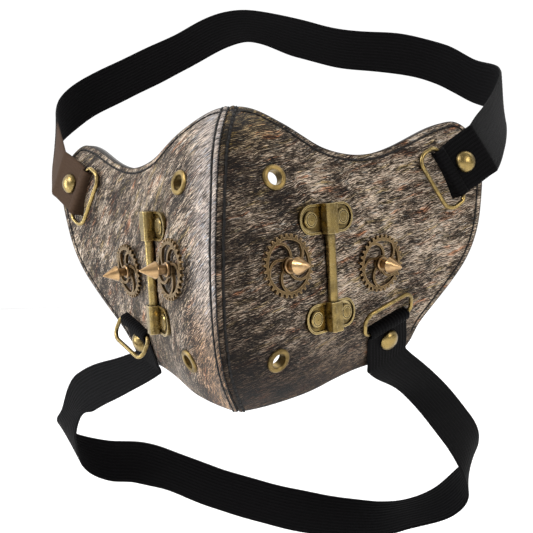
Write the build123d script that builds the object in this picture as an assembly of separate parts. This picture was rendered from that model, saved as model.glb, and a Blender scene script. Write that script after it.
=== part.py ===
from build123d import *
import math
import os

os.makedirs("parts", exist_ok=True)

# Steampunk half mask: nose, mouth and cheeks. All sizes in millimetres.
# Frame: origin at the middle of the face opening, level with the gears.
# Z up, -Y out of the front of the mask, +X to the wearer's left.

# ---- Overall sizes ----
panel_length = 139.3        # along the leather from the seam to the end of the cheek
panel_height = 125.0        # from the nose end of the seam to its chin end
long = panel_length / 139.3
tall = panel_height / 125.0

# ---- Shell ----
ridge_forward = 95.0 * long     # gear-level ridge of the nose, ahead of the origin
outer_leather = 1.6
lining = 1.2
shell = outer_leather + lining
spread_per_mm = 0.0052      # the cheeks open out downwards
panel_yaw = 47.0            # each panel's mean turn away from straight ahead
press = 0.25                # how far metal fittings press into the leather

# The lines, places and strap runs below are for a panel 139.3 long and 125 tall.
# (height, distance behind the ridge) down the centre seam
nose_line = ((-78, 60), (-70, 50), (-62, 36), (-50, 18), (-40, 8), (-25, 1.5), (0, 0),
             (25, 4), (45, 9.5), (55, 16), (68, 30), (78, 44), (86, 56))
nose_line = tuple((up * tall, behind * tall) for up, behind in nose_line)
# (distance from the seam plane, distance behind the ridge) at gear level
cheek_line = ((-14, -12.5), (-6, -5.2), (0, 0), (22.5, 20), (38.5, 41.5), (56, 62),
              (76, 81.5), (100, 101), (118, 113), (132, 121))
cheek_line = tuple((across * long, behind * long) for across, behind in cheek_line)
# panel edge as (along the panel, height), from above the nose round the cheek to the chin
panel_edge = ((-12, 66), (18, 66.5), (29, 65), (37, 59), (45, 53.5), (53, 49.5), (62, 47.5),
              (72, 47.2), (82, 49), (92, 52.5), (103, 57.5), (114, 62.5), (124, 66),
              (130, 66.3), (133.5, 62), (135, 52), (137.5, 36), (139.3, 22), (138.8, 11),
              (136, 1), (131, -8), (124, -18), (118, -27), (115.8, -36), (112, -42.5),
              (104, -45.5), (95, -45), (84, -46.5), (72, -49.5), (59, -53), (46, -55.5),
              (34, -57.5), (20, -58.5), (-12, -58.5))
panel_edge = tuple((reach * long, up * tall) for reach, up in panel_edge)

# ---- Fittings: place on the panel as (distance from the seam plane, height) ----
nose_eyelet_at = (19.4 * long, 34.7 * tall)
chin_eyelet_at = (18.3 * long, -37.0 * tall)
front_gear_at = (23.0 * long, 0.2 * tall)
rear_gear_at = (56.8 * long, 1.3 * tall)
upper_saddle_at = (36.6 * long, 19.6 * tall)
lower_saddle_at = (36.8 * long, -20.4 * tall)
upper_strap_at = (95.5 * long, 46.4 * tall)
lower_strap_at = (58.5 * long, -32.8 * tall)
upper_strap_rise = 33.0     # strap leaves the cheek this far above level
lower_strap_rise = -65.0

eyelet_bore = 6.2
eyelet_barrel = eyelet_bore + 0.8
eyelet_od = eyelet_bore + 4.2
eyelet_flange = 1.0
washer_od = eyelet_od - 0.6
washer_thick = 0.8

gear_od = 25.0
gear_teeth = 30
tooth_depth = 1.3
gear_thick = 1.3
rim_width = 1.1
rim_inner = gear_od - 2 * (tooth_depth + rim_width)
spoke_count = 5
spoke_sweep = 56.0          # a spoke's outer end leads its root by this many degrees
spoke_width = 1.0
neck_od = 4.0
hub_od = neck_od + 3.0
spin_clearance = 0.08
gear_stand_off = 0.9        # gear's back above the seat of the spike
gear_end_play = 0.25

shoulder_od = 6.0           # keeps the gear on its neck
shoulder_thick = 0.9
stem_od = 3.8
spike_od = 7.0
spike_base = 7.3            # above the seat
spike_height = 7.0
spike_tip = 0.8
screw_od = 2.5
screw_head_od = 7.0
screw_head = 1.3
screw_reach = 3.4

saddle_length = 30.0
saddle_width = 12.3
saddle_plate = 1.0
saddle_lip = 0.7
rod_od = 4.4
rod_past_saddle = 5.9
rod_lift = rod_od / 2 + 0.5     # rod axis above the saddle seat
rod_bed = 0.15                  # clearance of the groove that the rod lies in
channel_wall = 0.7
channel_width = rod_od + 2 * channel_wall + 0.6
rivet_pitch = (saddle_length + channel_width) / 2
rivet_od = 7.0
rivet_head = 1.1
rivet_shank = 3.0
rivet_cap = 1.0

# ---- Straps, rings and their domed rivets ----
strap_width = 25.0
strap_thick = 1.3
fold_width = strap_width - 1.6
dome_od = 10.0
dome_height = 3.4
dome_shank = 3.4
dome_cap = 1.1
wire_od = 2.0
ring_span = 11.0            # between the axes of the long bars
ring_length = strap_width + 3   # between the axes of the short bars
near_radius = 3.0
far_radius = 5.0
bar_at = dome_od / 2 + 4.5      # trapped bar, inboard of the domed rivet
bar_lift = wire_od / 2 + 0.5    # trapped bar's axis above the leather
bar_clearance = 0.1
lap_lift = 0.3              # strap above the leather under the domed rivet
tail_end = -dome_od / 2 - 2.5   # inner end of the strap, outboard of the rivet
fold_bend = wire_od / 2 + bar_clearance + strap_thick / 2
fold_wall = bar_at + fold_bend  # strap's way down through its slot
slot_width = strap_thick + 2.1
slot_length = strap_width + 1
ring_rest = {"upper_left": 3.0, "upper_right": 3.0, "lower_left": 3.0, "lower_right": 140.0}

# middle line of each strap and the direction its upper edge faces, from the
# wearer's left fitting round behind the head to the right fitting
upper_run = (((120, 47, 82), (-0.25, -0.35, 0.90)), ((123, 76, 100), (0.0, -0.25, 0.97)),
             ((111, 98, 112), (0.15, -0.1, 0.98)), ((93, 107, 126), (0.25, 0.0, 0.97)),
             ((69, 109, 135), (0.18, 0.0, 0.98)), ((32, 107, 141), (0.15, 0.0, 0.99)),
             ((6, 108, 150), (0.2, 0.1, 0.97)), ((-27, 110, 162), (-0.1, 0.3, 0.95)),
             ((-47, 109, 160), (-0.3, 0.1, 0.95)), ((-73, 102, 146), (-0.3, 0.0, 0.95)),
             ((-104, 84, 126), (-0.25, -0.05, 0.97)), ((-123, 64, 109), (-0.1, -0.15, 0.98)),
             ((-129, 42, 90), (0.1, -0.3, 0.94)))
lower_run = (((74, 24, -60), (0.88, 0.45, 0.15)), ((87, 43, -78), (0.80, 0.55, 0.20)),
             ((97, 61, -96), (0.66, 0.68, 0.30)), ((100, 75, -112), (0.30, 0.88, 0.38)),
             ((96, 87, -127), (-0.20, 0.85, 0.50)), ((84, 95, -140), (-0.30, 0.85, 0.45)),
             ((63, 101, -149), (-0.15, 0.90, 0.40)), ((42, 105, -154), (0.05, 0.70, 0.70)),
             ((-2, 104, -150), (0.25, 0.35, 0.90)), ((-52, 100, -137), (0.35, 0.20, 0.92)),
             ((-83, 93, -124), (0.35, 0.10, 0.93)), ((-101, 85, -117), (0.05, 0.35, 0.93)),
             ((-118, 76, -114), (-0.15, 0.20, 0.96)), ((-130, 62, -105), (-0.45, 0.30, 0.84)),
             ((-131, 48, -90), (-0.75, 0.55, 0.35)), ((-122, 37, -77), (-0.80, 0.60, 0.05)),
             ((-106, 24, -63), (-0.62, 0.30, 0.72)))


def sized_run(run):
    """Stations of a run, carried with the overall sizes."""
    return [((x * long, y * long, z * tall), edge) for (x, y, z), edge in run]


def slopes(stations):
    """Smooth slope at each station of a line."""
    rise = [(b[1] - a[1]) / (b[0] - a[0]) for a, b in zip(stations, stations[1:])]
    inner = [(a + b) / 2 for a, b in zip(rise, rise[1:])]
    return [rise[0], *inner, rise[-1]]


def along(stations, at):
    """Height of a smooth line through its stations."""
    slope = slopes(stations)
    last = len(stations) - 2
    i = min(max(sum(at >= s[0] for s in stations) - 1, 0), last)
    (x0, y0), (x1, y1) = stations[i], stations[i + 1]
    span = x1 - x0
    t = (at - x0) / span
    start = (1 + 2 * t) * (1 - t) ** 2 * y0 + t * (1 - t) ** 2 * span * slope[i]
    return start + t * t * (3 - 2 * t) * y1 + t * t * (t - 1) * span * slope[i + 1]


def leather_at(across, up):
    """Point on the outer face of the wearer's left panel."""
    behind = along(nose_line, up) + along(cheek_line, across) * (1 - spread_per_mm * up)
    return Vector(across, behind - ridge_forward, up)


def outward_at(across, up):
    """Unit vector out of the leather."""
    step = 0.5
    sideways = leather_at(across + step, up) - leather_at(across - step, up)
    upwards = leather_at(across, up + step) - leather_at(across, up - step)
    return sideways.cross(upwards).normalized()


def seat_plane(place, lift=0.0):
    """Plane on the leather: local x runs outboard, local z out of the leather."""
    out = outward_at(*place)
    level = Vector(0, 0, 1).cross(out)
    return Plane(leather_at(*place) + out * lift, x_dir=level, z_dir=out)


def fitting_plane(place):
    """Seat of a metal fitting pressed into the leather."""
    return seat_plane(place, -press)


def corner_plane(place, rise):
    """Plane at a domed rivet: local x runs inboard, away from the leaving strap."""
    flat = seat_plane(place)
    turn = math.radians(rise)
    inboard = flat.x_dir * -math.cos(turn) - flat.y_dir * math.sin(turn)
    return Plane(flat.origin, x_dir=inboard, z_dir=flat.z_dir)


def turned(profile):
    """Solid of revolution of an (radius, height) profile about local z."""
    return revolve(Plane.XZ * make_face(Polyline(*profile, close=True)), Axis.Z)


def disc(radius, low, high):
    return Pos(0, 0, low) * Cylinder(radius, high - low, align=(Align.CENTER, Align.CENTER, Align.MIN))


def skin(depth, thickness):
    """Leather sheet whose outer face lies this deep, larger than the panel."""
    rows = []
    for i in range(29):
        across = (-4 + 4.4 * i) * long
        heights = [(-66 + 4.5 * j) * tall for j in range(32)]
        rows.append([leather_at(across, up) - outward_at(across, up) * depth for up in heights])
    face = Face.make_surface_from_array_of_points(rows, tol=0.01, max_deg=5)
    return Solid.thicken(face, thickness, normal_override=Vector(0, 1, 0))


def trim_block():
    """Block through the panel with the shape of its edge, stopped at the seam plane."""
    yaw = math.radians(panel_yaw)
    flat = Plane((0, -ridge_forward, 0), x_dir=(math.cos(yaw), math.sin(yaw), 0),
                 z_dir=(math.sin(yaw), -math.cos(yaw), 0))
    edge = make_face(Spline(*panel_edge, periodic=True))
    block = extrude(flat * edge, amount=panel_length / 2, both=True)
    half_space = Pos(panel_length, 0, 0) * Box(2 * panel_length, 4 * panel_length, 4 * panel_height)
    return block & half_space


grip = shell - 2 * press    # leather thickness between two pressed fittings


def bore_through(radius, front_seat, back_seat):
    """Hole with a pressed flat seat on each side, in fitting coordinates."""
    hole = disc(radius, -grip - 5, 5)
    hole += disc(front_seat + 0.1, 0, 4)
    return hole + disc(back_seat + 0.1, -grip - 4, -grip)


def stadium(length, width, thickness):
    return extrude(SlotOverall(length, width), thickness)


def saddle_cut():
    """Leather removed under a saddle and round its two rivets."""
    cut = stadium(saddle_length + 0.2, saddle_width + 0.2, 8)
    for side in (-1, 1):
        spot = Pos(side * rivet_pitch / 2, 0, 0)
        cut += spot * disc(rivet_shank / 2 + 0.02, -grip - 5, 1)
        cut += spot * disc(rivet_od / 2 + 0.1, -grip - 4, -grip)
    return cut


def strap_cut():
    """Leather removed for the strap slot and the domed rivet."""
    slot = Pos(fold_wall - 0.55, 0, 0) * Box(slot_width, slot_length, 16)
    return slot + disc(dome_shank / 2 + 0.05, -9, 8)


# ---- Metal fittings, each in its own seat coordinates ----
def eyelet():
    bore = eyelet_bore / 2
    barrel = eyelet_barrel / 2
    rim = eyelet_od / 2
    back = -grip - washer_thick
    return turned(((bore, 0.7), (bore + 0.3, eyelet_flange), (rim - 0.7, eyelet_flange),
                   (rim - 0.15, 0.65), (rim, 0.2), (rim, 0), (barrel, 0), (barrel, back),
                   (barrel + 0.8, back), (barrel + 0.8, back - 0.4), (bore + 0.1, back - 0.4),
                   (bore, back - 0.2)))


def eyelet_washer():
    inner = eyelet_barrel / 2 + 0.02
    outer = washer_od / 2
    back = -grip - washer_thick
    return turned(((inner, -grip), (outer, -grip), (outer, back + 0.3), (outer - 0.3, back),
                   (inner, back)))


def gear_outline():
    """Closed outline of the toothed rim."""
    tip = gear_od / 2
    root = tip - tooth_depth
    pitch = 2 * math.pi / gear_teeth
    points = []
    for tooth in range(gear_teeth):
        for radius, share in ((root, -0.28), (tip, -0.14), (tip, 0.14), (root, 0.28)):
            angle = (tooth + share) * pitch
            points.append((radius * math.cos(angle), radius * math.sin(angle)))
    return make_face(Polyline(*points, close=True))


def gear():
    """Toothed rim, hub ring and sickle spokes, spinning about local z."""
    hub = hub_od / 2
    rim = rim_inner / 2
    flat = gear_outline() - Circle(rim)
    middle = Vector((hub + rim) / 2, 0).rotate(Axis.Z, spoke_sweep * 0.4)
    end = Vector(rim + rim_width * 0.2, 0).rotate(Axis.Z, spoke_sweep)
    spoke = trace(ThreePointArc((hub - 0.6, 0), middle, end), spoke_width)
    hole = neck_od / 2 + spin_clearance
    for index in range(spoke_count):
        flat += Rot(0, 0, index * 360 / spoke_count) * spoke
    flat += Circle(hub)
    flat -= Circle(hole)
    wheel = extrude(flat, gear_thick)
    collar = disc(hole + 0.6, 0, gear_thick + 0.2) - disc(hole, -1, gear_thick + 1)
    return Pos(0, 0, gear_stand_off) * (wheel + collar)


def spike():
    keep = gear_stand_off + gear_thick + 0.2 + gear_end_play
    neck = neck_od / 2
    shoulder = shoulder_od / 2
    clear = keep + shoulder_thick
    stem = stem_od / 2
    rim = spike_od / 2
    top = spike_base + spike_height
    tip = spike_tip / 2
    hole = screw_od / 2 + 0.02
    return turned(((hole, 0), (neck, 0), (neck, keep), (shoulder, keep), (shoulder, clear - 0.2),
                   (shoulder - 0.2, clear), (stem, clear), (stem, spike_base),
                   (rim - 0.2, spike_base), (rim, spike_base + 0.2), (rim, spike_base + 0.5),
                   (tip, top - 0.25), (tip * 0.5, top), (0, top), (0, screw_reach + 0.5),
                   (hole, screw_reach + 0.2)))


def spike_screw():
    head = screw_head_od / 2
    shank = screw_od / 2
    back = -grip - screw_head
    body = turned(((0, screw_reach), (shank, screw_reach), (shank, -grip), (head, -grip),
                   (head, back + 0.4), (head - 0.4, back), (0, back)))
    return body - Pos(0, 0, back) * Box(screw_head_od + 2, 0.9, 1.2)


def saddle():
    """Pressed plate with a rolled lip and a raised channel along local y."""
    plate = stadium(saddle_length, saddle_width, saddle_plate)
    lip = stadium(saddle_length, saddle_width, saddle_plate + saddle_lip)
    lip -= stadium(saddle_length - 1.8, saddle_width - 1.8, 9)
    top = rod_lift + rod_od / 2 + 0.1 + channel_wall
    inner = channel_width - 2 * channel_wall
    floor_up = (Align.CENTER, Align.CENTER, Align.MIN)
    channel = Box(channel_width, saddle_width, top, align=floor_up)
    channel = fillet(channel.edges().filter_by(Axis.Y).group_by(Axis.Z)[-1], 1.3)
    tunnel = Box(inner, 40, top - channel_wall, align=floor_up)
    tunnel = fillet(tunnel.edges().filter_by(Axis.Y).group_by(Axis.Z)[-1], 0.7)
    body = plate + lip + channel - Pos(0, 0, -0.001) * tunnel
    for side in (-1, 1):
        body -= Pos(side * rivet_pitch / 2, 0, 0) * disc(rivet_shank / 2 + 0.02, -1, 9)
    return body


def saddle_rivets():
    """Two flat-headed rivets, each with a turned groove."""
    head = rivet_od / 2
    shank = rivet_shank / 2
    low = saddle_plate
    high = saddle_plate + rivet_head
    one = turned(((0, high + 0.1), (head - 1.2, high), (head - 1.2, high - 0.35),
                  (head - 0.8, high - 0.35), (head - 0.8, high), (head - 0.3, high),
                  (head, high - 0.4), (head, low), (shank, low), (shank, -grip - 0.6),
                  (0, -grip - 0.6)))
    return Pos(-rivet_pitch / 2, 0, 0) * one + Pos(rivet_pitch / 2, 0, 0) * one


def cap(outer, thickness, shank):
    """Domed cap with a blind socket for a shank, its flat face at z = 0."""
    socket = shank / 2 + 0.02
    rim = outer / 2
    return turned(((socket, 0), (rim, 0), (rim, -thickness * 0.5), (rim - 0.6, -thickness),
                   (0, -thickness), (0, -0.65), (socket, -0.65)))


def saddle_rivet_caps():
    one = Pos(0, 0, -grip) * cap(rivet_od, rivet_cap, rivet_shank)
    return Pos(-rivet_pitch / 2, 0, 0) * one + Pos(rivet_pitch / 2, 0, 0) * one


strap_top = lap_lift + strap_thick


def tail_bottom(corner):
    """Height of the tail's inner face, clear of the curved lining over the whole tail."""
    heights = []
    for inboard in (tail_end, tail_end / 2, 0, bar_at, fold_wall + fold_bend):
        for share in (-0.55, -0.25, 0, 0.25, 0.55):
            spot = corner.from_local_coords((inboard, share * fold_width, 0))
            inner = leather_at(spot.X, spot.Z) - outward_at(spot.X, spot.Z) * shell
            heights.append(corner.to_local_coords(inner).Z)
    return min(heights) - lap_lift - strap_thick


def dome_rivet(corner):
    rim = dome_od / 2
    crown = [(rim * math.sin(math.radians(a)), strap_top + dome_height * math.cos(math.radians(a)))
             for a in range(0, 91, 10)]
    shank = dome_shank / 2
    low = tail_bottom(corner) - 0.6
    return turned((*crown, (shank, strap_top), (shank, low), (0, low)))


def dome_rivet_cap(corner):
    return Pos(0, 0, tail_bottom(corner)) * cap(dome_od, dome_cap, dome_shank)


def ring(swing):
    """Rounded wire ring, swung up about its trapped bar by this many degrees."""
    half = ring_length / 2
    corners = (near_radius, far_radius, far_radius, near_radius)
    loop = Polyline((0, -half), (ring_span, -half), (ring_span, half), (0, half), close=True)
    path = Wire(loop.edges())
    for point, radius in zip(((0, -half), (ring_span, -half), (ring_span, half), (0, half)), corners):
        corner = path.vertices().sort_by_distance(point)[0]
        path = path.fillet_2d(radius, [corner])
    start = Plane(origin=(0, 0, 0), z_dir=(0, 1, 0))
    wire = sweep(start * Circle(wire_od / 2), path=path)
    return Pos(bar_at, 0, bar_lift) * Rot(0, -swing, 0) * wire


def strap_end(corner):
    """Folded end of a strap round the trapped bar, from the lap to the tail."""
    mid = strap_thick / 2
    top = bar_lift + fold_bend
    bottom = tail_bottom(corner) + mid
    ramp_start = dome_od / 2 + 1.0
    ramp_end = bar_at - 1.2
    line = FilletPolyline((-6, lap_lift + mid), (ramp_start, lap_lift + mid), (ramp_end, top),
                          (fold_wall, top), (fold_wall, bottom), (tail_end, bottom),
                          radius=fold_bend)
    profile = Plane.XZ * trace(line, strap_thick)
    fold = extrude(profile, fold_width / 2, both=True)
    hole = disc(dome_shank / 2 + 0.05, -12, 12)
    return fold - hole


# ---- Long runs of the straps ----
def smooth_run(points, marks):
    """Points eased between the stations of a run, three to each span."""
    last = len(points) - 1
    pulls = []
    for i in range(last + 1):
        low, high = max(i - 1, 0), min(i + 1, last)
        pulls.append((points[high] - points[low]) * (1 / (marks[high] - marks[low])))
    eased = []
    for i in range(last):
        span = marks[i + 1] - marks[i]
        for step in range(3):
            t = step / 3
            blend = t * t * (3 - 2 * t)
            pull = pulls[i] * (t * (1 - t) ** 2) - pulls[i + 1] * (t * t * (1 - t))
            eased.append(points[i] * (1 - blend) + points[i + 1] * blend + pull * span)
    return [*eased, points[-1]]


def lap_stations(corner, mirrored):
    """Strap stations over the leather at a corner, rivet first."""
    flip = -1 if mirrored else 1
    stations = []
    for along_strap in (-4.0, -8.0, -13.0):
        at = corner.from_local_coords((along_strap, 0, lap_lift + strap_thick / 2))
        edge = corner.y_dir
        stations.append((Vector(at.X * flip, at.Y, at.Z), Vector(edge.X * flip, edge.Y, edge.Z)))
    return stations


def strap_run(corner, run):
    """Long run of a strap from the left corner round to its mirror on the right."""
    leaving = lap_stations(corner, False)
    sign = 1 if leaving[0][1].Z * run[0][1][2] + leaving[0][1].X * run[0][1][0] > 0 else -1
    start = [(at, edge * sign) for at, edge in leaving]
    middle = [(Vector(*at), Vector(*edge).normalized()) for at, edge in run]
    arriving = [(at, edge * sign) for at, edge in lap_stations(corner, True)]
    far_sign = 1 if arriving[-1][1].dot(middle[-1][1]) > 0 else -1
    end = [(at, edge * far_sign) for at, edge in reversed(arriving)]
    stations = [*start, *middle, *end]
    marks = [0]
    for (here, edge), (there, next_edge) in zip(stations, stations[1:]):
        marks.append(marks[-1] + (there - here).length)
    centres = smooth_run([at for at, edge in stations], marks)
    edges = smooth_run([edge for at, edge in stations], marks)
    sections = []
    for i, (centre, edge) in enumerate(zip(centres, edges)):
        ahead = centres[min(i + 1, len(centres) - 1)] - centres[max(i - 1, 0)]
        section = Plane(centre, x_dir=edge, z_dir=ahead.cross(edge).cross(edge) * -1)
        wide = section.x_dir * (strap_width / 2)
        thick = section.y_dir * (strap_thick / 2 - 0.05)
        corners_here = [centre + wide + thick, centre - wide + thick,
                        centre - wide - thick, centre + wide - thick]
        sections.append(Wire.make_polygon(corners_here, close=True))
    return Solid.make_loft(sections, ruled=True)


def mirrored(shape):
    return mirror(shape, about=Plane.YZ)


def write(name, shape):
    shape.label = name
    export_step(shape, f"parts/{name}.step")


upper_corner = corner_plane(upper_strap_at, upper_strap_rise)
lower_corner = corner_plane(lower_strap_at, lower_strap_rise)

# Both saddles share the rod's direction; each keeps its own lean on the leather.
upper_point = fitting_plane(upper_saddle_at).origin
lower_point = fitting_plane(lower_saddle_at).origin
rod_run = (upper_point - lower_point).normalized()


def saddle_plane(place):
    here = fitting_plane(place)
    out = (here.z_dir - rod_run * here.z_dir.dot(rod_run)).normalized()
    return Plane(here.origin, x_dir=rod_run.cross(out), z_dir=out)


upper_saddle = saddle_plane(upper_saddle_at)
lower_saddle = saddle_plane(lower_saddle_at)
eyelets = {"nose": fitting_plane(nose_eyelet_at), "chin": fitting_plane(chin_eyelet_at)}
gears = {"front": fitting_plane(front_gear_at), "rear": fitting_plane(rear_gear_at)}
saddles = {"upper": upper_saddle, "lower": lower_saddle}
corners = {"upper": upper_corner, "lower": lower_corner}

rod_length = (upper_point - lower_point).length + 2 * rod_past_saddle
lift = (upper_saddle.z_dir + lower_saddle.z_dir).normalized() * rod_lift
rod_start = Plane(lower_point - rod_run * rod_past_saddle + lift, z_dir=rod_run)

cuts = [rod_start * disc(rod_od / 2 + rod_bed, 0, rod_length)]
for plane in eyelets.values():
    cuts.append(plane * bore_through(eyelet_barrel / 2 + 0.02, eyelet_od / 2, washer_od / 2))
for plane in gears.values():
    cuts.append(plane * bore_through(screw_od / 2 + 0.05, neck_od / 2, screw_head_od / 2))
for plane in saddles.values():
    cuts.append(plane * saddle_cut())
for plane in corners.values():
    cuts.append(plane * strap_cut())

block = trim_block()
left_pieces = {}
for name, depth, thickness in (("outer_panel", 0, outer_leather), ("lining", outer_leather, lining)):
    panel = skin(depth, thickness) & block
    for cut in cuts:
        panel -= cut
    left_pieces[name] = panel

for name, plane in eyelets.items():
    left_pieces[f"{name}_eyelet"] = plane * eyelet()
    left_pieces[f"{name}_eyelet_washer"] = plane * eyelet_washer()
for name, plane in gears.items():
    left_pieces[f"{name}_gear"] = plane * gear()
    left_pieces[f"{name}_spike"] = plane * spike()
    left_pieces[f"{name}_spike_screw"] = plane * spike_screw()
for name, plane in saddles.items():
    left_pieces[f"{name}_saddle"] = plane * saddle()
    left_pieces[f"{name}_saddle_rivets"] = plane * saddle_rivets()
    left_pieces[f"{name}_saddle_rivet_caps"] = plane * saddle_rivet_caps()
for name, plane in corners.items():
    left_pieces[f"{name}_strap_rivet"] = plane * dome_rivet(plane)
    left_pieces[f"{name}_strap_rivet_cap"] = plane * dome_rivet_cap(plane)

left_pieces["rod"] = rod_start * disc(rod_od / 2, 0, rod_length)

for name, piece in left_pieces.items():
    write(f"{name}_left", piece)
    write(f"{name}_right", mirrored(piece))

for name, plane in corners.items():
    write(f"{name}_ring_left", plane * ring(ring_rest[f"{name}_left"]))
    write(f"{name}_ring_right", mirrored(plane * ring(ring_rest[f"{name}_right"])))

for name, run in (("upper", upper_run), ("lower", lower_run)):
    plane = corners[name]
    end = plane * strap_end(plane)
    hole = plane * disc(dome_shank / 2 + 0.05, -12, 12)
    strap = strap_run(plane, sized_run(run)) - hole - mirrored(hole) + end + mirrored(end)
    write(f"{name}_strap", strap)
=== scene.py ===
import math
import bpy
import bmesh
import numpy as np
from mathutils import Matrix, Vector
from mathutils.geometry import delaunay_2d_cdt


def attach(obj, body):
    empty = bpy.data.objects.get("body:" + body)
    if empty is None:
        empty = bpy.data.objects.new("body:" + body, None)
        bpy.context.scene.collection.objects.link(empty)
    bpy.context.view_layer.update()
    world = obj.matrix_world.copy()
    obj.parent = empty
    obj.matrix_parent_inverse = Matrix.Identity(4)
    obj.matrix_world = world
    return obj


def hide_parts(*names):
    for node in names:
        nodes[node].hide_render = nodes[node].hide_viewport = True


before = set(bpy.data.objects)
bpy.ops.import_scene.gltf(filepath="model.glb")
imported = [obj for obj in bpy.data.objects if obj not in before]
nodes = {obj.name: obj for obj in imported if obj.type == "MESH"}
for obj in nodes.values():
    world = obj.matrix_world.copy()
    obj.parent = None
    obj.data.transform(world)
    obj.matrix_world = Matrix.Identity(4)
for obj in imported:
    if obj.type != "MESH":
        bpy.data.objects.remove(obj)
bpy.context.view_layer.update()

mm = 0.001
sides = {"left": 1, "right": -1}

# Camera, about 0.36 m in front and 11 degrees to the wearer's left
photo = {"sensor": 36, "lens": 49.3, "at": (0.0690, -0.3538, -0.0063),
         "right": (0.9815, 0.1896, -0.0264), "ahead": (-0.1890, 0.9817, 0.0228)}
cameraData = bpy.data.cameras.new("studioCamera")
cameraData.sensor_width, cameraData.lens = photo["sensor"], photo["lens"]
camera = bpy.data.objects.new("studioCamera", cameraData)
bpy.context.scene.collection.objects.link(camera)
bpy.context.scene.camera = camera
lookRight = Vector(photo["right"]).normalized()
lookAhead = Vector(photo["ahead"]).normalized()
lookUp = lookRight.cross(lookAhead)
facing = Matrix((lookRight, lookUp, -lookAhead)).transposed()
camera.matrix_world = Matrix.Translation(photo["at"]) @ facing.to_4x4()

# Shape of the shell, the same lines as the CAD model, in millimetres
shell = {"ridgeForward": 95.0, "leather": 1.6, "thick": 2.8, "spread": 0.0052,
         "yaw": math.radians(47)}
noseLine = np.array(((-78, 60), (-70, 50), (-62, 36), (-50, 18), (-40, 8), (-25, 1.5), (0, 0),
                     (25, 4), (45, 9.5), (55, 16), (68, 30), (78, 44), (86, 56)), float)
cheekLine = np.array(((-14, -12.5), (-6, -5.2), (0, 0), (22.5, 20), (38.5, 41.5), (56, 62),
                      (76, 81.5), (100, 101), (118, 113), (132, 121)), float)
panelEdge = ((29, 65), (37, 59), (45, 53.5), (53, 49.5), (62, 47.5), (72, 47.2), (82, 49),
             (92, 52.5), (103, 57.5), (114, 62.5), (124, 66), (130, 66.3), (133.5, 62), (135, 52),
             (137.5, 36), (139.3, 22), (138.8, 11), (136, 1), (131, -8), (124, -18), (118, -27),
             (115.8, -36), (112, -42.5), (104, -45.5), (95, -45), (84, -46.5), (72, -49.5),
             (59, -53), (46, -55.5), (34, -57.5))
places = {"noseEyelet": (19.4, 34.7), "chinEyelet": (18.3, -37.0), "frontGear": (23.0, 0.2),
          "rearGear": (56.8, 1.3), "upperSaddle": (36.6, 19.6), "lowerSaddle": (36.8, -20.4),
          "upperStrap": (95.5, 46.4), "lowerStrap": (58.5, -32.8)}
rises = {"upper": 33.0, "lower": -65.0}
rod = {"across": 4.4, "lift": 2.7, "seat": 0.25, "gap": 0.2, "past": 4.5}
# where the stitch rows run, measured from the seam and from the cut edge
sewing = {"seamRow": 3.3, "edgeRow": 2.4, "top": 66.2, "bottom": -58.4,
          "dentAbove": -48, "dentBeyond": 112, "creaseAbove": -34, "threadAbove": -30, "fade": 6}


def unit(rows):
    return rows / np.linalg.norm(rows, axis=-1, keepdims=True)


def lengths(line):
    # distance along a line of points, from its start to each point
    return np.concatenate(([0], np.cumsum(np.linalg.norm(np.diff(line, axis=0), axis=1))))


def lineAt(stations, at):
    # smooth line through its stations, as part of the shell's surface
    at = np.asarray(at, float)
    xs, ys = stations[:, 0], stations[:, 1]
    rise = np.diff(ys) / np.diff(xs)
    slope = np.concatenate(([rise[0]], (rise[:-1] + rise[1:]) / 2, [rise[-1]]))
    i = np.clip(np.searchsorted(xs, at, side="right") - 1, 0, len(xs) - 2)
    span = xs[i + 1] - xs[i]
    t = (at - xs[i]) / span
    start = (1 + 2 * t) * (1 - t) ** 2 * ys[i] + t * (1 - t) ** 2 * span * slope[i]
    return start + t * t * (3 - 2 * t) * ys[i + 1] + t * t * (t - 1) * span * slope[i + 1]


def leatherAt(across, up):
    spread = 1 - shell["spread"] * np.asarray(up)
    behind = lineAt(noseLine, up) + lineAt(cheekLine, across) * spread
    return np.stack((np.asarray(across, float), behind - shell["ridgeForward"],
                     np.asarray(up, float)), -1)


def outwardAt(across, up):
    step = 0.5
    sideways = leatherAt(across + step, up) - leatherAt(across - step, up)
    upwards = leatherAt(across, up + step) - leatherAt(across, up - step)
    return unit(np.cross(sideways, upwards))


def alongOf(point):
    # how far along the panel a point lies
    return (point[..., 0] * math.cos(shell["yaw"])
            + (point[..., 1] + shell["ridgeForward"]) * math.sin(shell["yaw"]))


def acrossAt(along, up):
    # distance from the seam plane for a place along the panel, by halving
    low, high = np.full(len(along), -8.0), np.full(len(along), 128.0)
    for halving in range(40):
        middle = (low + high) / 2
        nearer = alongOf(leatherAt(middle, up)) < along
        low = np.where(nearer, middle, low)
        high = np.where(nearer, high, middle)
    return (low + high) / 2


def seatFrame(place, rise=None):
    # rows: local x, local y, outward; x runs outboard, or inboard at a strap corner
    origin = leatherAt(*place)
    out = outwardAt(*place)
    level = unit(np.cross((0, 0, 1), out))
    up = np.cross(out, level)
    if rise is None:
        return origin, np.array((level, up, out))
    turn = math.radians(rise)
    inboard = -level * math.cos(turn) - up * math.sin(turn)
    return origin, np.array((inboard, np.cross(out, inboard), out))


corners = {name: seatFrame(places[f"{name}Strap"], rise) for name, rise in rises.items()}


# Shader maths
class Value:
    # one node socket; arithmetic on it adds Math nodes
    def __init__(self, paint, socket):
        self.paint, self.socket = paint, socket

    def __add__(self, other): return self.paint.math("ADD", self, other)
    def __radd__(self, other): return self.paint.math("ADD", other, self)
    def __sub__(self, other): return self.paint.math("SUBTRACT", self, other)
    def __rsub__(self, other): return self.paint.math("SUBTRACT", other, self)
    def __mul__(self, other): return self.paint.math("MULTIPLY", self, other)
    def __rmul__(self, other): return self.paint.math("MULTIPLY", other, self)


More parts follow.
